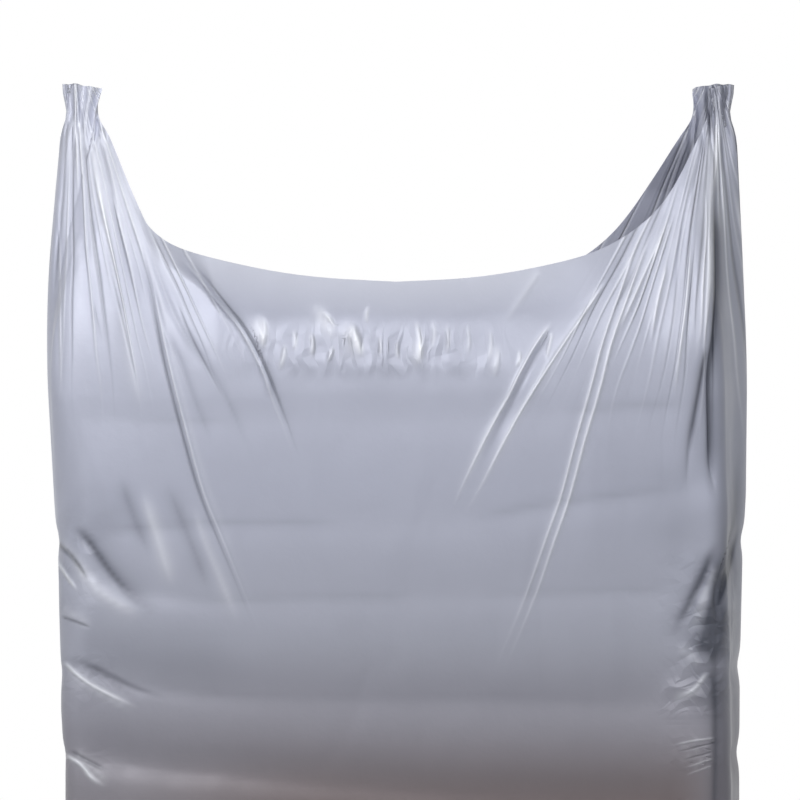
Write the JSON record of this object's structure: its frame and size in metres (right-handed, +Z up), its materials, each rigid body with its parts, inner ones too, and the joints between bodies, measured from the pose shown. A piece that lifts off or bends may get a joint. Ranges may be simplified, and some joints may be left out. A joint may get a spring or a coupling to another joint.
{
  "type": "plastic storage bag",
  "caption": "Large open plastic film bag, filled with folded quilts and standing on its flat base, with a swept mouth rim that rises to two gathered grip corners.",
  "frame": {"origin": "middle of the bag's footprint, on the floor under its flat base", "axes": "+Z up, the front panel faces -Y, +X runs to the right along the width"},
  "size_m": [0.75, 0.3, 1.077],
  "materials": {
    "silver_film": "soft-gloss silver-grey polyethylene film, slightly see-through",
    "quilt_cloth": "plain woven quilt cover"
  },
  "bodies": {
    "root": {"bag_film": "silver_film", "folded_quilt_lower": "quilt_cloth", "folded_quilt_middle": "quilt_cloth", "folded_quilt_upper": "quilt_cloth"}
  },
  "joints": []
}
